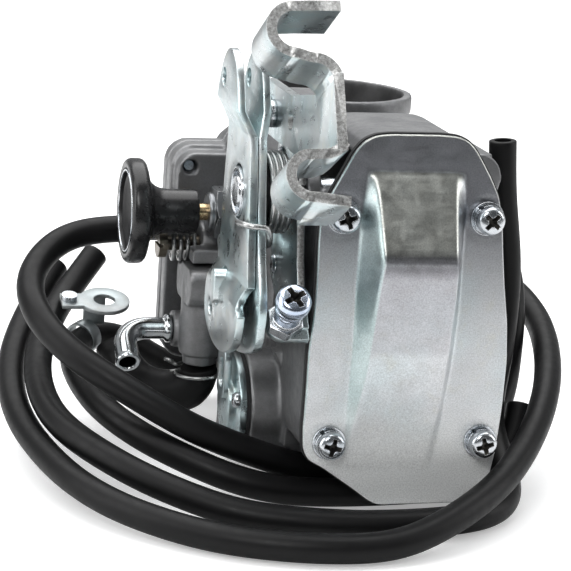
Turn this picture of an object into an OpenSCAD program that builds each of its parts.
// Single-barrel slide carburetor with an internal throttle arm,
// two-cable lever, pull choke, cable bracket and vent hoses.
// Millimetres. The bore stands upright on the air-side mouth:
// +Z is the bore axis towards the engine, the slide chamber and its
// cover face -Y (front), the float bowl is on +Y (back), the throttle
// lever on -X (left). The origin is the centre of the air-side mouth.

/* [Body] */
// Overall length between the two mouths
body_len = 100; // [98:0.5:104]
// Throat radius at the throttle slide
throat_r = 13; // [12:0.25:13.25]
// Outer radius of the engine-side collar
engine_collar_r = 21.2; // [20.8:0.1:22.5]
// Inner radius of the engine-side mouth
engine_mouth_r = 18.75; // [17:0.25:19.2]
// Outer radius of the air-side spigot
air_spigot_r = 26; // [25:0.25:28]
// Inner radius of the air-side mouth
air_mouth_r = 23; // [20:0.25:23.5]

/* [Slide chamber] */
// Front face of the cover plate, distance in front of the bore axis
cover_face = 60; // [60:0.25:62]
// Thickness of the pressed cover
cover_t = 1.5; // [1.2:0.1:2]
// Thickness of the cover gasket
gasket_t = 0.9; // [0.6:0.1:1.2]
// Height of the ridge pressed into the cover
ridge_h = 9; // [8:0.25:11]
// Radius of the throttle slide
slide_r = 14; // [13.8:0.05:14]

/* [Throttle] */
// Radius of the throttle shaft
shaft_r = 4; // [3.5:0.1:4]
// Arm radius from the shaft to the roller
arm_r = 24; // [23.5:0.1:24]
// Half of the swing of the arm, degrees
arm_half = 34; // [30:1:34]
// Thickness of one lever plate
lever_t = 2; // [1.6:0.1:2]

/* [Cable bracket] */
// Thickness of the bracket steel
bracket_t = 2.4; // [2:0.1:2.4]
// Tilt of the two cables above horizontal, degrees
cable_tilt = 28; // [25:1:32]
// Width of the hooks along the cables
hook_w = 15; // [12:0.5:15]

/* [Choke] */
// Radius of the pull knob
knob_r = 14; // [12:0.5:15]

/* [Float bowl] */
// Depth of the float bowl behind its flange
bowl_depth = 33; // [32:0.5:38]

/* [Hoses] */
// Outer radius of the vent hoses
hose_r = 3.7; // [3.2:0.1:3.8]
// Segments along each run of hose
hose_steps = 5; // [4:1:7]

/* [Hidden] */
$fn = 48;

// planes across Y
flange_front = -cover_face + cover_t + gasket_t;
slide_front = -27;
slide_back = 13.4;
bowl_joint = 24;
bowl_gasket_t = 0.8;
bowl_back = bowl_joint + bowl_depth;

// axes along X, as [y, z]
shaft_y = -44;
shaft_z = 81;
shaft_axis = [shaft_y, shaft_z];
pin_axis = shaft_axis + arm_r * [sin(arm_half), -cos(arm_half)];
choke_axis = [0, 66];
air_cut_axis = [-20, 19];
air_screw_axis = [8, 55.5];
fuel_axis = [6, 32];
float_pin_axis = [29, 76];
left_vent = [18, 57];
right_vent = [14, 62];
bowl_nipple = [bowl_joint + 18, 44.6];
air_cut_x = -24.8;       // left face of the air-cut chamber
air_cut_screws_at = [for (a = [40, 160, 280]) on_circle(air_cut_axis, 12.1, a)];
bracket_screws_at = [[-35, 99], [-27, 99]];
stop_screws_at = [[-33, 60], [-33, 88]];

// axes along Y, as [x, z]
slide_z = 48;
slide_axis = [0, slide_z];
pilot_axis = [0, 61];
seat_axis = [0, 71];
arm_screw_axis = [11, shaft_z];
cover_screws_at = [[-11.5, 78.7], [25, 78.7], [-11, 21.2], [28.5, 21.2]];
bowl_screws_at = [[-35, 26], [27, 26], [-34.7, 75.5], [27, 80]];
cap_screws_at = [[-7.5, slide_z], [7.5, slide_z]];

// axes along Z, as [x, y]
column_x = -32;
column_y = 0;
column_axis = [column_x, column_y];
drain_axis = [-14, bowl_joint + 24];

// colours
steel = [0.70, 0.74, 0.76];
cast_metal = [0.47, 0.48, 0.49];
black = [0.08, 0.08, 0.085];
brass = [0.78, 0.62, 0.36];
slide_grey = [0.60, 0.61, 0.62];
cap_grey = [0.62, 0.63, 0.64];
float_black = [0.10, 0.10, 0.11];
tube_silver = [0.8, 0.82, 0.84];

// ---- Round and flat stock along the axes ----
function on_x(x, at) = [x, at[0], at[1]];
function on_y(y, at) = [at[0], y, at[1]];

module cone_x(start_r, end_r, from, to, at)
  translate(on_x(from, at)) rotate([0, 90, 0]) cylinder(r1 = start_r, r2 = end_r, h = to - from);
module cone_y(start_r, end_r, from, to, at)
  translate(on_y(from, at)) rotate([-90, 0, 0]) cylinder(r1 = start_r, r2 = end_r, h = to - from);
module cone_z(start_r, end_r, from, to)
  translate([0, 0, from]) cylinder(r1 = start_r, r2 = end_r, h = to - from);
module rod_x(radius, from, to, at)
  translate(on_x(from, at)) rotate([0, 90, 0]) cylinder(r = radius, h = to - from);
module rod_y(radius, from, to, at)
  translate(on_y(from, at)) rotate([-90, 0, 0]) cylinder(r = radius, h = to - from);
module rod_z(radius, from, to, at = [0, 0])
  translate([at[0], at[1], from]) cylinder(r = radius, h = to - from);

// coaxial rods; each step is [radius, from, to]
module turned_x(steps, at) for (s = steps) rod_x(s[0], s[1], s[2], at);
module turned_y(steps, at) for (s = steps) rod_y(s[0], s[1], s[2], at);
module turned_z(steps, at = [0, 0]) for (s = steps) rod_z(s[0], s[1], s[2], at);

// an outline in X-Z pushed along Y
module plate_y(from, to)
  translate([0, to, 0]) rotate([90, 0, 0]) linear_extrude(height = to - from) children();
// an outline in Y-Z pushed along X
module plate_x(from, to)
  translate([from, 0, 0]) rotate([90, 0, 90]) linear_extrude(height = to - from) children();
module block(low, high) translate(low) cube(high - low);
module ring(outer, inner, height) difference() {
  cylinder(r = outer, h = height);
  translate([0, 0, -1]) cylinder(r = inner, h = height + 2);
}
// rectangle between two corner points, with round corners
module round_rect(low, high, corner) {
  size = high - low;
  translate([low[0] + corner, low[1]]) square([size[0] - 2 * corner, size[1]]);
  translate([low[0], low[1] + corner]) square([size[0], size[1] - 2 * corner]);
  for (x = [low[0] + corner, high[0] - corner], y = [low[1] + corner, high[1] - corner])
    translate([x, y]) circle(r = corner);
}

// pan head screw along Y: shank to +Y, head to -Y with a cross recess
module pan_screw(radius, head_r, head_h, length) difference() {
  union() {
    rotate([-90, 0, 0]) cylinder(r = radius, h = length);
    rotate([90, 0, 0]) cylinder(r = head_r, h = head_h * 0.55);
    translate([0, -head_h * 0.55, 0]) rotate([90, 0, 0])
      cylinder(r1 = head_r, r2 = head_r * 0.72, h = head_h * 0.45);
  }
  for (a = [0, 90])
    rotate([0, a + 20, 0]) translate([-head_r * 0.55, -head_h - 1, -head_r * 0.13])
      cube([head_r * 1.1, head_h * 0.62 + 1, head_r * 0.26]);
}
// screws seated at one x with heads to -X, or at one y with heads to -Y
module screws_x(x, places, radius, head_r, head_h, length)
  for (at = places)
    translate(on_x(x, at)) rotate([0, 0, -90]) pan_screw(radius, head_r, head_h, length);
module screws_y(y, places, radius, head_r, head_h, length)
  for (at = places) translate(on_y(y, at)) pan_screw(radius, head_r, head_h, length);

// ---- Curves ----
function unit(v) = v / norm(v);
function left_of(v) = [-v[1], v[0]];
function reversed(path) = [for (i = [len(path) - 1:-1:0]) path[i]];
function on_circle(center, radius, angle) = center + radius * [cos(angle), sin(angle)];
function arc(center, radius, from, to, steps) =
  [for (i = [0:steps]) on_circle(center, radius, from + (to - from) * i / steps)];

// Catmull-Rom point between start and end, t from 0 to 1
function curve_point(before, start, end, after, t) =
  0.5 * (2 * start + (end - before) * t
    + (2 * before - 5 * start + 4 * end - after) * t * t
    + (3 * start - before - 3 * end + after) * t * t * t);
function closed_curve(path, steps) = let (count = len(path))
  [for (i = [0:count - 1]) for (k = [0:steps - 1])
    curve_point(path[(i + count - 1) % count], path[i],
      path[(i + 1) % count], path[(i + 2) % count], k / steps)];
function open_curve(path, steps) = let (last = len(path) - 1)
  concat([for (i = [0:last - 1]) for (k = [0:steps - 1])
    curve_point(path[max(i - 1, 0)], path[i], path[i + 1], path[min(i + 2, last)], k / steps)],
    [path[last]]);
function helix_x(radius, from, to, turns, start_angle, axis, steps) =
  [for (i = [0:steps])
    on_x(from + (to - from) * i / steps,
      on_circle(axis, radius, start_angle + 360 * turns * i / steps))];

function tangent(path, i) = unit(path[min(i + 1, len(path) - 1)] - path[max(i - 1, 0)]);
// an open path moved to its left
function shifted(path, shift) =
  [for (i = [0:len(path) - 1]) path[i] + shift * left_of(tangent(path, i))];
// a closed anticlockwise outline moved inwards
function inset(outline, depth) = let (count = len(outline))
  [for (i = [0:count - 1])
    let (along = unit(outline[(i + 1) % count] - outline[(i + count - 1) % count]))
      outline[i] + depth * left_of(along)];

// normals carried along a path without twist
function normals(path, normal, i) = i >= len(path) ? [] :
  let (along = tangent(path, i), next = unit(normal - (normal * along) * along))
    concat([next], normals(path, next, i + 1));
// round bar swept along a 3-D path
module sweep(path, radius, sides, start) {
  across = normals(path, start, 0);
  count = len(path);
  points = [for (i = [0:count - 1])
    let (first = across[i], second = cross(tangent(path, i), first))
      for (k = [0:sides - 1])
        path[i] + radius * (first * cos(360 * k / sides) + second * sin(360 * k / sides))];
  start_cap = [for (k = [sides - 1:-1:0]) k];
  end_cap = [for (k = [0:sides - 1]) (count - 1) * sides + k];
  walls = [for (i = [0:count - 2]) for (k = [0:sides - 1])
    let (here = i * sides, there = here + sides, next = (k + 1) % sides)
      each [[here + k, here + next, there + k], [here + next, there + next, there + k]]];
  polyhedron(points = points, faces = concat([start_cap], [end_cap], walls));
}

// ---- Body ----
// outline of the cover [x, z], anticlockwise from the lower left
cover_outline = concat(
  [[-17.3, 19.5], [-15.9, 16.6], [-11.7, 14.3], [-4, 9], [0.6, 5.6], [3, 4.4], [24, 4.7]],
  arc([24.6, 12.2], 7.5, -78, -8, 6),
  [[33.2, 18.9], [33.8, 30], [33.9, 42], [33, 52], [31.3, 62], [30.2, 70], [29.3, 78],
    [27.8, 84], [25.4, 88.6], [23, 92.4], [20.8, 95.7], [18.6, 97.8], [16, 98.7], [12, 99],
    [-1, 98.9], [-4.6, 98.5], [-7.4, 97.2], [-9.6, 94.6], [-11.8, 90.2], [-14.6, 84.6],
    [-17.1, 78.4], [-17.2, 72], [-16.9, 62], [-17, 54], [-17.7, 44.8], [-17.6, 33],
    [-17.7, 24.6]]);
// opening of the arm chamber, with lands left around the cover screws
module cavity_outline() difference() {
  union() {
    round_rect([-14.7, 26], [24.5, 93.5], 6);
    round_rect([-9, 60], [20, 95.5], 5);
  }
  for (at = cover_screws_at) translate(at) circle(r = 5.2);
}
// outline of the bowl joint: the upper left corner is cut lower
module bowl_flange(trim) {
  round_rect([-39.2 + trim, 20 + trim], [33 - trim, 80.8 - trim], 6.5 - trim);
  round_rect([-24 + trim, 50], [33 - trim, 86 - trim], 7 - trim);
}

bore_wall_r = 19;
module bore_and_mouths() {
  turned_z([
    [bore_wall_r, 14, body_len - 6],
    [air_spigot_r, 0, 4],
    [air_spigot_r - 0.5, 3.9, 12],
    [air_spigot_r - 2.6, 11, 21],
    [engine_collar_r - 1.6, 82, body_len - 4],
    [engine_collar_r, body_len - 4.6, body_len]]);
  cone_z(air_spigot_r - 2.6, bore_wall_r, 21, 29);
}
module housing_section(depth, low, size) intersection() {
  polygon(inset(cover_outline, depth));
  translate(low) square(size);
}
module slide_housing() {
  plate_y(flange_front, flange_front + 4) polygon(inset(cover_outline, 0.7));
  plate_y(flange_front + 3, -24) housing_section(0.7, [-30, 15], [70, 100]);
  plate_y(-24.5, -14) housing_section(1.5, [-30, 17], [70, 76]);
  plate_y(-16, -4) polygon([[-12, 30], [24, 30], [26, 60], [22, 90], [-8, 90], [-14, 76]]);
  // upper right boss
  rod_y(6.2, -50, -20, [25.4, 86.6]);
  block([18, -46, 80], [30, -20, 92]);
  // shaft boss
  rod_x(7.4, -18.6, -12, shaft_axis);
  // bracket boss at the left of the engine side
  plate_x(bracket_right, -11.5) polygon([[-40, 93.6], [-26, 92.6], [-24, 94.6],
    [-24, 102.4], [-26, 104.4], [-38, 104.4], [-40, 102.4]]);
  block([-17, -38, 86], [-4, -24.4, 95]);
  // stop bracket pads
  for (at = stop_screws_at) rod_x(4.2, -19, -12, at);
  // diagonal rib at the air-cut chamber
  plate_y(-31.5, -26) polygon([[-19, 36], [-16.5, 36], [-11.5, 26], [-14, 26]]);
}
module bowl_mounting() {
  block([-24, 0, 28], [24, bowl_joint - 5, 82]);
  plate_y(bowl_joint - 5.5, bowl_joint) bowl_flange(0);
  // raised corner pad at the upper left
  plate_y(bowl_joint - 11, bowl_joint - 5) round_rect([-38, 64], [-18, 79.4], 5);
  // towers of the needle jet, the pilot jet and the needle valve
  rod_y(5.6, bowl_joint - 6, 35, slide_axis);
  rod_y(4.2, bowl_joint - 6, 33, pilot_axis);
  rod_y(5.2, bowl_joint - 6, 26.4, seat_axis);
  // float hinge posts
  for (x = [-9.5, 7]) block([x, bowl_joint - 1, 73.2], [x + 2.5, 31.5, 78.8]);
}
module side_bosses() {
  // starter housing
  rod_x(7.8, -26.5, -8, choke_axis);
  block([-24, -5, 58], [-8, 8, 74]);
  // air screw boss and its rib
  rod_x(6.4, -32.6, -12, air_screw_axis);
  block([-36, -3.5, 52.5], [-10, 10, 56.4]);
  // raised box below the air screw
  plate_x(-37.5, -22) round_rect([-9, 41.5], [10, 51.5], 2.5);
  // left nipple column
  turned_z([[5.8, 27, 46], [4.6, 24, 28]], column_axis);
  block([column_x, -4, 28.5], [-12, 8, 50]);
  // air-cut chamber at the lower left
  rod_x(14.6, air_cut_x, -4, air_cut_axis);
  block([-16, -36, 12], [2, -10, 34]);
  // fuel inlet boss
  rod_x(5, -39, -26, fuel_axis);
  // vent nipples, left and right
  rod_x(3.2, -50.2, -22, left_vent);
  rod_x(3.2, 22, 47, right_vent);
  // right-hand boss
  rod_x(6, 12, 36, [4, 62]);
}
module body_bores() {
  // throat, bell and engine mouth
  turned_z([
    [throat_r, -1, body_len + 1],
    [air_mouth_r, -1, 5],
    [engine_mouth_r, 86, body_len + 1]]);
  cone_z(air_mouth_r, throat_r, 4.99, 26.99);
  cone_z(throat_r, engine_mouth_r, 70, 86.01);
  // slide bore and arm chamber
  rod_y(slide_r + 0.06, -62, 14, slide_axis);
  plate_y(-62, -24.4) cavity_outline();
  rod_x(shaft_r + 0.05, -30, 26.5, shaft_axis);
  // starter, air screw and its spring seat, fuel inlet
  rod_x(4.55, -28, -6, choke_axis);
  turned_x([[2.05, -38, -17], [5.5, -46, -32.6]], air_screw_axis);
  rod_x(3.05, -40, -24, fuel_axis);
  // nipple column and vent passages
  rod_z(3, 22, 40, column_axis);
  rod_x(1.3, -58, -34, left_vent);
  rod_x(1.3, 28, 48, right_vent);
  rod_x(10.5, -27, -12, air_cut_axis);
  // needle jet, pilot jet and needle valve passages
  rod_y(3, 11, 36, slide_axis);
  rod_y(2.2, 17, 34, pilot_axis);
  rod_y(3.05, 16, 28, seat_axis);
  rod_x(1.05, -12, 12, float_pin_axis);
  // screw holes
  for (at = cover_screws_at) rod_y(2, -62, -49.6, at);
  for (at = bowl_screws_at) rod_y(2, bowl_joint - 12, bowl_joint + 1, at);
  for (at = bracket_screws_at) rod_x(2, -23, -12, at);
  for (at = stop_screws_at) rod_x(1.6, -20, -12.5, at);
  for (at = air_cut_screws_at) rod_x(1.25, -27, -17, at);
}
module mixing_body() color(cast_metal) difference() {
  union() {
    bore_and_mouths();
    slide_housing();
    bowl_mounting();
    side_bosses();
  }
  body_bores();
}

// ---- Cover ----
// ridge that rises to a crest and falls away below; shrink moves its faces inwards
module ridge_solid(shrink) {
  crest = -cover_face - ridge_h;
  left = -7.4 + shrink;
  right = 20.2 - shrink;
  top = 89 - shrink;
  bottom = 13.6 + 2 * shrink;
  intersection() {
    // seen from the front [x, z]
    plate_y(crest - 2, -cover_face + 3) polygon([[left, top], [-6.4 + shrink, 69],
      [-7 + shrink, 23 + 2 * shrink], [15.4 - shrink, bottom], [18.2 - shrink, 31.7],
      [19.2 - shrink, 46], [19.8 - shrink, 68], [18 - shrink, top]]);
    // seen from the side [y, z]
    plate_x(-20, 40) polygon([[-cover_face + 2.5, 92], [-cover_face, 89.6 - shrink],
      [crest + shrink, 70.4], [crest + shrink, 67.6], [-cover_face - ridge_h * 0.5 + shrink, 40],
      [-cover_face, bottom], [-cover_face + 2.5, 12]]);
    // seen along the bore [x, y]: the side walls lean in towards the crest
    translate([0, 0, 10]) linear_extrude(height = 82) polygon([[left, -cover_face + 3],
      [left, -cover_face], [-2.6 + shrink, crest - 1], [18.6 - shrink, crest - 1],
      [right, -cover_face], [right, -cover_face + 3]]);
  }
}
module top_cover() color(steel) difference() {
  union() {
    plate_y(-cover_face, -cover_face + cover_t) polygon(cover_outline);
    ridge_solid(0);
  }
  // the hollow behind the ridge
  ridge_solid(cover_t);
  block([-30, -cover_face + cover_t, 0], [50, -cover_face + 8, 110]);
  for (at = cover_screws_at) rod_y(2.2, -70, -50, at);
}
module top_cover_gasket() color(black) difference() {
  plate_y(flange_front - gasket_t, flange_front) polygon(inset(cover_outline, 0.25));
  plate_y(-70, -50) cavity_outline();
  rod_y(slide_r + 0.1, -70, -50, slide_axis);
  for (at = cover_screws_at) rod_y(2.2, -70, -50, at);
}
washer_front = -cover_face - 2.3;
module top_cover_screws() color(steel)
  screws_y(washer_front, cover_screws_at, 2, 3.6, 2.8, 12.3);
module top_cover_washers() color(steel) for (at = cover_screws_at) difference() {
  turned_y([[4.3, -cover_face - 0.9, -cover_face], [3.7, washer_front, -cover_face - 0.9]], at);
  rod_y(2.15, -cover_face - 4, -cover_face + 1, at);
}

// ---- Throttle shaft and lever ----
module throttle_shaft() color(steel) difference() {
  rod_x(shaft_r, -35.2, 26, shaft_axis);
  rod_y(1.6, -50, -42.2, arm_screw_axis);
}
module shaft_bush() color(black) difference() {
  turned_x([[7.3, -29.8, -21.2], [6.4, -21.4, -18.7]], shaft_axis);
  rod_x(shaft_r + 0.06, -31, -17, shaft_axis);
}
// wire from the hooked end, through the coil, to the straight end
spring_hook = [[-36, -53, 75.4], [-36.2, -58, 76], [-34.5, -60.7, 76],
  [-30.3, -60.8, 75.2], [-28.9, -57.6, 71.2], [-28.7, -51, 69.3]];
spring_tail = [[-22.5, -31.4, 82.4], [-22.5, -26, 80.2]];
module return_spring() color(steel) sweep(
  concat(open_curve(spring_hook, 3),
    helix_x(9.6, -28.6, -22.6, 4.2917, 270, shaft_axis, 78),
    spring_tail),
  0.75, 7, [0, 0, 1]);

outer_x = -34.3;         // left faces of the two lever plates at mid height
inner_x = -32.1;
// outline of a lever plate [y, z]; the lower front edge moves out and the lower back edge in
function lever_outline(front_out, back_in) = closed_curve([
  [-39.5, 115.5], [-33.5, 113.4], [-29, 107.5], [-26.8, 101], [-28.6, 94], [-27.4, 81],
  [-27, 69], [-25, 58], [-22.6 - back_in, 51], [-23.6 - back_in, 45], [-29, 41.4],
  [-37, 39.8], [-47, 40.6], [-57 - front_out, 45], [-60.5 - front_out, 51],
  [-61 - front_out, 58], [-58.6 - front_out / 2, 68], [-57, 81], [-54.2, 94],
  [-50.6, 104], [-46.4, 112]], 4);
// section [x, z] of a lever plate: straight in the middle, offset at both ends
module lever_bend(left, top_shift, bottom_shift) {
  path = [[left + bottom_shift, 30], [left + bottom_shift, 55], [left, 60], [left, 96],
    [left + top_shift, 102], [left + top_shift, 125]];
  translate([0, shaft_y, 0]) rotate([90, 0, 0]) linear_extrude(height = 110, center = true)
    polygon(concat(path, [for (p = reversed(path)) p + [lever_t, 0]]));
}
// cable holes in the two ears [y, z]
module cable_holes() for (at = [[-33.5, 107.6], [-30, 48]]) rod_x(2.4, -42, -25, at);
module lever_outer() color(steel) difference() {
  intersection() {
    plate_x(-42, -25) polygon(lever_outline(0, 0));
    lever_bend(outer_x, -2.9, -2.2);
  }
  cable_holes();
  rod_x(6.9, -42, -25, shaft_axis);
  // round notch in the lower front edge
  rod_x(3.6, -42, -25, [-61.5, 57]);
  // small notch in the back edge under the upper ear
  rod_x(2.2, -42, -25, [-26.2, 98.5]);
  // window for the bump of the inner plate
  plate_x(-42, -25) round_rect([-39, 50], [-33.5, 60], 2.5);
}
module lever_inner() color(steel) difference() {
  union() {
    intersection() {
      plate_x(-40, -22) polygon(lever_outline(4, 1));
      lever_bend(inner_x, 1.2, 0);
    }
    // lug behind the plate, reaching in towards the body, and its root
    plate_x(inner_x, -23) polygon([[-17, 58], [-13.4, 61.6], [-15, 63.4], [-18.6, 59.8]]);
    plate_x(inner_x, inner_x + 2)
      polygon([[-27, 52], [-17, 58], [-13.4, 61.6], [-15, 63.4], [-28, 68]]);
    // bump that fills the window of the outer plate
    intersection() {
      plate_x(-37.6, -31) round_rect([-38.4, 50.6], [-34.1, 59.4], 1.9);
      rod_x(16, -45, -20, [-36, 55]);
    }
  }
  cable_holes();
  rod_x(shaft_r + 0.02, -42, -22, shaft_axis);
}
module lever_boss() color(steel) difference() {
  rod_x(6.2, -34.9, -32.2, shaft_axis);
  rod_x(shaft_r + 0.02, -40, -30, shaft_axis);
}

// ---- Arm and slide ----
arm_half_w = 2.8;
module slide_arm() color(steel) difference() {
  union() {
    rod_x(7.5, 4.6, 13, shaft_axis);
    translate(on_x(5.6, shaft_axis)) rotate([arm_half - 90, 0, 0]) {
      translate([0, 0, -arm_half_w]) cube([4, arm_r, 2 * arm_half_w]);
      translate([0, arm_r, 0]) rotate([0, 90, 0]) cylinder(r = arm_half_w, h = 4);
    }
  }
  rod_x(shaft_r + 0.02, -2, 20, shaft_axis);
  turned_y([[1.6, -60, -40], [2.75, -60, -51.4]], arm_screw_axis);
  rod_x(1.52, 0, 12, pin_axis);
}
module arm_roller() color(brass) turned_x([[2, -4, 5.4], [1.5, 5.3, 9.6]], pin_axis);
module arm_screw() color(steel) screws_y(-51.4, [arm_screw_axis], 1.55, 2.6, 2, 9);
module throttle_slide() color(slide_grey) difference() {
  rod_y(slide_r, slide_front, slide_back, slide_axis);
  rod_y(slide_r - 1.8, slide_front - 1, slide_back - 4, slide_axis);
  rod_y(1.3, 0, 20, slide_axis);
  // cut-away on the air side
  translate([-20, slide_back - 2.4, slide_z - 20]) rotate([-10, 0, 0]) cube([40, 10, 19]);
}
module slide_cap() color(cap_grey) difference() {
  union() {
    rod_y(slide_r - 1.9, slide_front, slide_front + 3, slide_axis);
    plate_x(-4.2, 4.2) polygon([[slide_front + 0.5, 40], [slide_front + 0.5, 58.6],
      [slide_front - 0.1, 59.2], [slide_front - 1, 65.4], [slide_front - 6.9, 65.4],
      [slide_front - 7.4, 50], [slide_front - 2, 41]]);
  }
  // slot for the roller
  block([-5, pin_axis[0] - 2.6, 54], [5, pin_axis[0] + 2.6, 68]);
  rod_y(1.35, -40, -10, slide_axis);
  for (at = cap_screws_at) rod_y(1.3, -40, -10, at);
}
module slide_cap_screws() color(steel) screws_y(slide_front, cap_screws_at, 1.25, 2.2, 1.6, 2.8);
module jet_needle() color(brass) union() {
  rod_y(1.22, slide_front - 2, 14, slide_axis);
  cone_y(1.22, 0.8, 14, 30, slide_axis);
}
module needle_clip() color(steel) difference() {
  rod_y(3, slide_back - 4.9, slide_back - 4.1, slide_axis);
  rod_y(1.25, 0, 20, slide_axis);
  block([-0.9, 0, slide_z - 4], [0.9, 20, slide_z]);
}

// ---- Cable bracket: a flat web beside the lever, two hooks bent across the cables ----
bracket_right = -21.8;
bracket_left = bracket_right - bracket_t;
bracket_mid = bracket_right - bracket_t / 2;
upper_hook = [-32.4, 26.4];      // hook centres in the hook frame
upper_hook_r = 5.5;              // mid-line radii
lower_hook = [-30.2, -7.6];
lower_hook_r = 4.9;
// hook frame: z runs along the cables, forwards and up
module in_hook_frame() translate([0, -95, 103]) rotate([90 - cable_tilt, 0, 0]) children();
// strip of bracket thickness along a path, and round a centre
module hook_strip(path)
  polygon(concat(shifted(path, bracket_t / 2), reversed(shifted(path, -bracket_t / 2))));
module hook_bend(center, radius, from, to) translate(center) intersection() {
  difference() {
    circle(r = radius + bracket_t / 2);
    circle(r = radius - bracket_t / 2);
  }
  polygon(concat([[0, 0]], arc([0, 0], 2 * radius, from, to, 6)));
}
module upper_profile() {
  hook_strip([[bracket_mid, 4], [bracket_mid, 14.6]]);
  hook_bend([bracket_mid - 5.2, 14.6], 5.2, -2, 86);
  hook_strip([[bracket_mid - 4.5, 19.76], [-28.6, 19.82], [-30, 20.1], [-31, 20.5],
    [-32.1, 20.8], [-33.4, 20.9]]);
  hook_bend(upper_hook, upper_hook_r, 268, 96);
  hook_strip([on_circle(upper_hook, upper_hook_r, 98), [-31.5, 31.92], [-29, 32.1],
    [-21.6, 32.3]]);
}
module lower_profile() {
  hook_strip([[bracket_mid + 0.6, 0.3], [bracket_mid, -0.8], [bracket_mid - 1.3, -1.8],
    [bracket_mid - 3, -2.45], [-28.4, -2.66], on_circle(lower_hook, lower_hook_r, 88)]);
  hook_bend(lower_hook, lower_hook_r, 84, 262);
  hook_strip([on_circle(lower_hook, lower_hook_r, 261), [-29.6, -12.56], [-28, -12.72],
    [-21.8, -13.5]]);
}
// outline of the flat web [y, z]
web_outline = [[-95.9, 101.6], [-87.4, 117.4], [-83, 117.6], [-79.5, 111.2], [-50.6, 106.2],
  [-24, 106.2], [-21.5, 103.5], [-21.5, 95.5], [-24, 92.9], [-47, 92.9], [-52, 93.2],
  [-63.7, 92.6], [-82, 94.6]];
module cable_bracket() color(steel) difference() {
  union() {
    plate_x(bracket_left, bracket_right) polygon(web_outline);
    in_hook_frame() {
      translate([0, 0, -hook_w]) linear_extrude(height = hook_w) upper_profile();
      translate([0, 0, -hook_w]) linear_extrude(height = hook_w) lower_profile();
      // tab at the back end of the lower hook
      translate([-29.6, -14.1, -hook_w - 3.2]) cube([7, bracket_t, 5]);
    }
  }
  rod_x(2.5, -30, -18, [-51.6, 100.2]);
  for (at = bracket_screws_at) rod_x(2.2, -30, -18, at);
}
module bracket_screws() color(steel)
  screws_x(bracket_left, bracket_screws_at, 2, 3.5, 2.6, 11);

// ---- Throttle stop: a plate on the housing wall with a tab for the screw ----
stop_left = -21;
stop_outline = [[-50.5, 89.5], [-47, 91.2], [-30, 92.3], [-28, 90], [-28, 57], [-34, 53],
  [-50, 47], [-57, 45.8], [-63.5, 51.5], [-57, 60], [-54.6, 66], [-52.6, 74], [-51.4, 82]];
// frame on the tab's front face: z runs out along the screw to its head
module along_stop() translate([-25.2, -62, 52]) rotate([47, 0, 0]) children();
module stop_bracket() color(steel) difference() {
  union() {
    plate_x(stop_left, -19) polygon(stop_outline);
    along_stop() translate([0, 0, -2]) linear_extrude(height = 2) {
      circle(r = 4.1);
      translate([0, -4.1]) square([6.2, 8.2]);
    }
  }
  rod_x(7.8, -23, -17, shaft_axis);
  for (at = stop_screws_at) rod_x(1.75, -23, -17, at);
  along_stop() rod_z(2.02, -5, 5);
}
module stop_bracket_screws() color(steel) screws_x(stop_left, stop_screws_at, 1.6, 2.4, 0.8, 9);
module stop_screw() color(steel) along_stop() difference() {
  union() {
    turned_z([[2, -4.6, 13.4], [3.9, 8.2, 9.6], [4.3, 10.4, 12.8]]);
    cone_z(4.3, 3.2, 12.8, 14);
  }
  // cross recess
  for (a = [0, 90]) rotate([0, 0, a + 15]) translate([-2.4, -0.55, 12]) cube([4.8, 1.1, 4]);
}
module stop_locknut() color(steel) along_stop() difference() {
  union() {
    rotate([0, 0, 30]) rod_z(4.7, 0.05, 3.45, $fn = 6);
    rod_z(3.6, 3.45, 4.45);
  }
  rod_z(2.03, -1, 9);
}

// ---- Choke ----
// knob profile [radius, distance inwards from its left face]
knob_profile = [[0, 1.6], [8.5, 1.2], [11.6, 0], [13, 0], [knob_r, 1.2], [knob_r, 3.8],
  [knob_r - 1.2, 5], [9, 5.8], [6.6, 7.6], [6, 9.5], [0, 9.5]];
// local z runs along +X on the choke axis
module along_choke(x) translate(on_x(x, choke_axis)) rotate([0, 90, 0]) children();
module choke_knob() color(black) difference() {
  union() {
    rod_x(6, -50, -35.3, choke_axis);
    along_choke(-54.6) rotate_extrude() polygon(knob_profile);
  }
  rod_x(2.26, -48, -30, choke_axis);
  along_choke(-55.6) ring(11.2, 9.9, 3);
}
module knob_ring() color(steel) along_choke(-54.4) ring(11.15, 9.95, 1.6);
module choke_rod() color(brass) rod_x(2.25, -47.5, -19, choke_axis);
module choke_nut() color(steel) difference() {
  union() {
    rod_x(7.4, -31, -26.6, choke_axis, $fn = 6);
    turned_x([[4.5, -26.7, -23.5], [5.2, -32.4, -30.9]], choke_axis);
  }
  rod_x(2.32, -34, -20, choke_axis);
}
module choke_spring() color(steel)
  sweep(helix_x(3.5, -22.9, -12.9, 7, 0, choke_axis, 70), 0.4, 5, [1, 0, 0]);
module starter_plunger() color(brass)
  turned_x([[4.45, -10.2, -8.2], [4.45, -12.2, -10.1], [2.2, -19, -12.1]], choke_axis);

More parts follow.
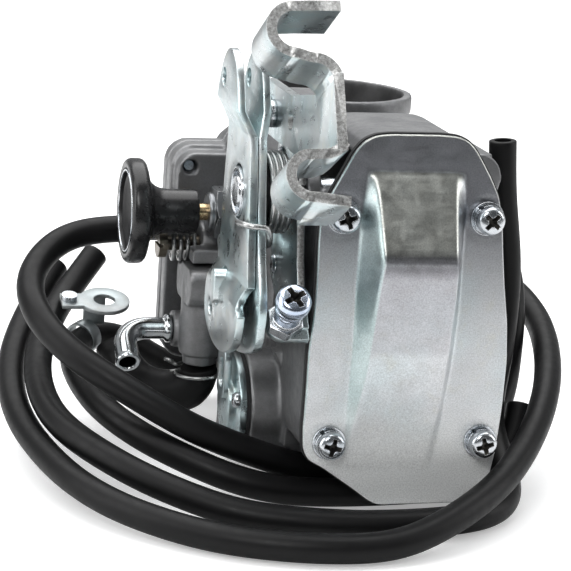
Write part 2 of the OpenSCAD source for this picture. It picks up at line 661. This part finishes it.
// ---- Air-cut valve ----
module air_cut_cover() color(steel) difference() {
  union() {
    turned_x([[14, air_cut_x - 2.8, air_cut_x - 1], [7.5, air_cut_x - 4.4, air_cut_x - 2.7]],
      air_cut_axis);
    // slotted loop
    plate_x(air_cut_x - 5.6, air_cut_x - 4)
      round_rect(air_cut_axis + [-5, 2], air_cut_axis + [4, 15.5], 3);
  }
  for (at = air_cut_screws_at) rod_x(1.45, -36, -20, at);
  plate_x(-34, air_cut_x - 4)
    round_rect(air_cut_axis + [-2.6, 4.6], air_cut_axis + [1.6, 12.5], 1.8);
}
module air_cut_cover_screws() color(steel)
  screws_x(air_cut_x - 2.8, air_cut_screws_at, 1.2, 2.1, 1.8, 8);
module air_cut_diaphragm() color(black) difference() {
  rod_x(14, air_cut_x - 1, air_cut_x, air_cut_axis);
  for (at = air_cut_screws_at) rod_x(1.45, -32, -20, at);
}
module air_cut_spring() color(steel)
  sweep(helix_x(6, air_cut_x + 0.6, air_cut_x + 11, 4, 0, air_cut_axis, 48),
    0.45, 6, [1, 0, 0]);

// ---- Float bowl ----
module float_bowl() color(cast_metal) difference() {
  union() {
    plate_y(bowl_joint + bowl_gasket_t, bowl_joint + 5.5) bowl_flange(0);
    plate_y(bowl_joint + 4, bowl_back + bowl_gasket_t - 4) {
      round_rect([-31, 26.5], [24, 75.6], 8);
      round_rect([-20, 60], [20, 80.4], 7);
    }
    plate_y(bowl_joint + 4, bowl_joint + 13) round_rect([-20, 60], [20, 82], 7);
    plate_y(bowl_back - 5, bowl_back + bowl_gasket_t) round_rect([-26, 31], [19, 73.6], 7);
    rod_y(6.5, bowl_joint + 20, bowl_back + 2, slide_axis);
    turned_z([[2.3, 14.5, 30], [3.4, 24, 30]], drain_axis);
    rod_x(3.2, 22, 34, bowl_nipple);
  }
  plate_y(bowl_joint - 1, bowl_back - 6) {
    round_rect([-28.6, 29], [21.6, 73.2], 6);
    round_rect([-15, 60], [15, 78], 5);
  }
  plate_y(bowl_joint - 1, bowl_joint + 10.6) round_rect([-15, 60], [15, 79.6], 5);
  plate_y(bowl_joint - 1, bowl_back - 2.4) round_rect([-23.6, 33.4], [16.6, 71.2], 5);
  for (at = bowl_screws_at) rod_y(2.15, bowl_joint - 1, bowl_joint + 8, at);
  rod_z(1.3, 13, 34, drain_axis);
  rod_x(1.3, 20, 36, bowl_nipple);
  rod_y(2.5, bowl_joint + 20, bowl_back + 3, slide_axis);
}
module bowl_gasket() color(black) difference() {
  plate_y(bowl_joint, bowl_joint + bowl_gasket_t) bowl_flange(0.5);
  plate_y(bowl_joint - 1, bowl_joint + 2) {
    round_rect([-28.6, 29], [21.6, 77.4], 6);
    round_rect([-15, 60], [15, 79.6], 5);
  }
  for (at = bowl_screws_at) rod_y(2.15, bowl_joint - 1, bowl_joint + 8, at);
}
module bowl_screws() color(steel) for (at = bowl_screws_at)
  translate(on_y(bowl_joint + 5.5, at)) rotate([0, 0, 180]) pan_screw(2, 3.6, 2.6, 14);
module drain_screw() color(brass) union() {
  rod_y(5.4, bowl_back + 2.05, bowl_back + 6.05, slide_axis, $fn = 6);
  rod_y(2.45, bowl_back - 3, bowl_back + 2.1, slide_axis);
}
module needle_jet() color(brass) difference() {
  rod_y(2.95, 14.2, 34.9, slide_axis);
  turned_y([[1.3, 10, 26], [1.6, 25, 36]], slide_axis);
}
module main_jet() color(brass) difference() {
  union() {
    rod_y(3.6, 35.1, 38.5, slide_axis, $fn = 6);
    rod_y(1.5, 33.5, 35.2, slide_axis);
  }
  rod_y(0.7, 33, 40, slide_axis);
}
module pilot_jet() color(brass) difference() {
  turned_y([[2.15, 24, 33.1], [2.8, 33.03, 34.6]], pilot_axis);
  rod_y(0.6, 23, 36, pilot_axis);
}
module float() color(float_black) difference() {
  union() {
    // two pontoons, their crosspiece and the hinge tongue
    plate_y(31, 44) round_rect([-23.6, 32], [-9.6, 66], 5);
    plate_y(31, 44) round_rect([6.6, 32], [19, 66], 5);
    block([-17, 31.5, 66], [10.5, 33.5, 69.5]);
    block([-6.2, 31.5, 66], [6.2, 33.5, 74.2]);
    rod_x(2.4, -6.2, 6.2, float_pin_axis);
    block([-6.2, 28.6, 72.6], [6.2, 33.5, 76]);
  }
  rod_x(1.06, -8, 8, float_pin_axis);
  rod_y(6, 20, 30.6, [0, 69.6]);
}
module float_pin() color(steel) rod_x(1, -9.4, 9.4, float_pin_axis);
module float_needle() color(brass) union() {
  turned_y([[1.7, 23.6, 29.4], [0.8, 29.3, 31.3]], seat_axis);
  cone_y(0.6, 1.7, 21.6, 23.7, seat_axis);
}
module needle_seat() color(brass) difference() {
  rod_y(3, 17.5, 27, seat_axis);
  turned_y([[1.76, 22.3, 28], [1, 16, 22.4]], seat_axis);
}

// ---- Air screw ----
module air_screw() color(brass) difference() {
  union() {
    turned_x([[2, -42, -20], [4, -43.8, -41.6]], air_screw_axis);
    cone_x(2, 0.5, -20, -17.5, air_screw_axis);
  }
  // driver slot
  block(on_x(-45, air_screw_axis - [5, 0.5]), on_x(-42.8, air_screw_axis + [5, 0.5]));
}
module air_screw_spring() color(steel)
  sweep(helix_x(4.4, -40.9, -33.3, 4, 0, air_screw_axis, 56), 0.6, 6, [1, 0, 0]);

// ---- Fuel inlet and breather elbows ----
bend_x = -46;            // where the first leg of the inlet tube starts to bend
bend_r = 6.5;
leg_turn = 227;          // turn of the second leg about X
// first leg along X, a quarter bend and a second leg; extra lengthens a cutting tool
module bent_tube(radius, right, extra, leg) {
  rod_x(radius, bend_x - extra, right, [0, 0]);
  translate([bend_x, 0, 0]) rotate([leg_turn, 0, 0]) translate([0, -bend_r, 0])
    rotate([0, 0, 90]) rotate_extrude(angle = 90) translate([bend_r, 0]) circle(r = radius);
  translate([bend_x - bend_r, 0, 0]) rotate([leg_turn, 0, 0]) translate([0, -bend_r, 0])
    rotate([90, 0, 0]) translate([0, 0, -extra]) cylinder(r = radius, h = leg);
}
module fuel_inlet_elbow() color(tube_silver)
  translate(on_x(0, fuel_axis)) rotate([163, 0, 0]) difference() {
    union() {
      bent_tube(3, -27, 0, 7);
      // bead round the first leg
      rod_x(3.9, -41.2, -39.1, [0, 0]);
    }
    bent_tube(2.2, -26, 0.01, 8);
  }
// solid moulded elbow hanging from the left nipple column
elbow_path = [[column_x, column_y, 22.9], [column_x, column_y + 0.4, 20],
  [column_x - 2.6, 2.5, 16], [column_x - 8, 6, 14], [column_x - 14, 10, 15],
  [-50, 14.6, 18.6], [-52, 19, 24]];
module rubber_elbow() color(black) sweep(open_curve(elbow_path, 4), 5.2, 12, [0, 1, 0]);
module elbow_clips() color(steel)
  translate([column_x, column_y, 21.7]) rotate([-4, 6, 0]) ring(6.4, 5.75, 1);

// ---- Hoses: control points [x, y, z] of the runs round the body ----
upper_path = [[-50.6, 18, 57], [-54, 18, 57], [-66.2, 16, 55.7], [-73.9, 10, 52],
  [-79.2, 0, 46.8], [-78.8, -12, 41.6], [-73.7, -22, 36.1], [-65.3, -30, 31],
  [-53.9, -36, 25.1], [-42.2, -39.5, 18.8], [-30.1, -41.5, 14.1], [-17.7, -41.5, 9.7],
  [-4, -40, 6], [12, -37.6, 4.8], [28, -32.4, 5], [40, -24, 8], [51, -13, 16],
  [55.2, -5, 30], [56.6, 0, 43], [55.6, 6, 53], [52.6, 11, 59.4], [50.4, 14, 62],
  [47.6, 14, 62]];
outer_path = [[-66, 44, 40], [-72, 36, 33], [-78.5, 22, 26], [-82.5, 6, 20.5],
  [-83, -10, 15.6], [-80, -26, 11.5], [-73, -46, 8], [-64, -60, 5.8], [-53, -71, 4.6],
  [-42, -79, 4], [-30, -84.6, 4], [-15, -88, 4], [2, -86.6, 4.4], [21, -77, 9],
  [36.6, -63, 14], [51, -43, 22], [60.8, -21, 29.2], [66.6, 5, 35.2], [63, 22, 41],
  [54, 34, 44.2], [44, 40.6, 45], [37.6, 42, 44.6], [34.4, 42, 44.6]];
overflow_path = [[42, -20, 91], [42.6, -20, 84], [43.6, -20, 75], [46.6, -20, 58.5],
  [46.8, -21, 44], [44.6, -25, 30], [40.8, -31.6, 18.6], [40.4, -45, 10.6], [39.2, -57, 6],
  [32.5, -66, 4.2], [20, -70.6, 3.9], [6, -72.4, 3.9], [-10, -72, 4], [-32, -67, 4.9],
  [-44.4, -60, 7], [-55.6, -52, 9.8], [-66, -41, 13.2], [-74, -28, 16.6],
  [-76.8, -12, 20.8], [-75, 6, 25], [-69.6, 22, 31], [-63, 34, 36], [-55, 42, 44]];
drain_path = [[-14, 48, 14.3], [-14.8, 48, 10.6], [-22, 46, 8], [-34, 41, 12],
  [-46.4, 33, 21], [-56, 27.5, 24.7], [-63.6, 18, 23.6], [-65.6, 2, 21.9],
  [-63.6, -14, 19.3], [-60.2, -24, 17.4], [-53, -34, 14.3], [-42.1, -42.5, 10.7],
  [-30.5, -48.4, 7.2], [-18.8, -49.9, 4.9], [-6, -49.9, 4.2], [8, -49.6, 4.2],
  [22, -47.8, 4.2], [33, -42.4, 4.2], [41, -36, 6], [46.6, -35, 10.4],
  [49, -32.4, 15.2], [50.6, -29, 20.4]];
module hose(path, start = [1, 0, 0]) sweep(open_curve(path, hose_steps), hose_r, 10, start);
module vent_hose_upper() color(black) hose(upper_path, [0, 0, 1]);
module vent_hose_outer() color(black) hose(outer_path);
module overflow_hose() color(black) hose(overflow_path);
module drain_hose() color(black) hose(drain_path);

// ---- Clamp tag: a band round the drain hose with a flat eye above it ----
module at_band() translate([-60.3, 23.4, 24.5]) rotate([0, 97.5, 228.8]) children();
module at_eye() translate([-55.5, 20, 35.2]) rotate([14, 0, 0]) children();
module clamp_tag() color(steel) difference() {
  union() {
    at_band() rod_z(4.7, -2, 2);
    translate([-60.5, 23.9, 28.2]) cube([6, 1.2, 8.6]);
    at_eye() linear_extrude(height = 1.2) {
      circle(r = 7);
      translate([-12, -3.5]) square([12, 7]);
    }
  }
  at_band() rod_z(3.9, -4, 4);
  at_eye() rod_z(3, -1, 3);
}
module tag_screw() color(steel) at_eye() rod_z(2.2, 1.22, 2.72, [-9.8, 0]);

mixing_body();
top_cover();
top_cover_gasket();
top_cover_screws();
top_cover_washers();
throttle_shaft();
shaft_bush();
return_spring();
lever_outer();
lever_inner();
lever_boss();
slide_arm();
arm_roller();
arm_screw();
throttle_slide();
slide_cap();
slide_cap_screws();
jet_needle();
needle_clip();
cable_bracket();
bracket_screws();
stop_bracket();
stop_bracket_screws();
stop_screw();
stop_locknut();
choke_knob();
knob_ring();
choke_rod();
choke_nut();
choke_spring();
starter_plunger();
air_cut_cover();
air_cut_cover_screws();
air_cut_diaphragm();
air_cut_spring();
float_bowl();
bowl_gasket();
bowl_screws();
drain_screw();
needle_jet();
main_jet();
pilot_jet();
float();
float_pin();
float_needle();
needle_seat();
air_screw();
air_screw_spring();
fuel_inlet_elbow();
rubber_elbow();
elbow_clips();
vent_hose_upper();
vent_hose_outer();
overflow_hose();
drain_hose();
clamp_tag();
tag_screw();
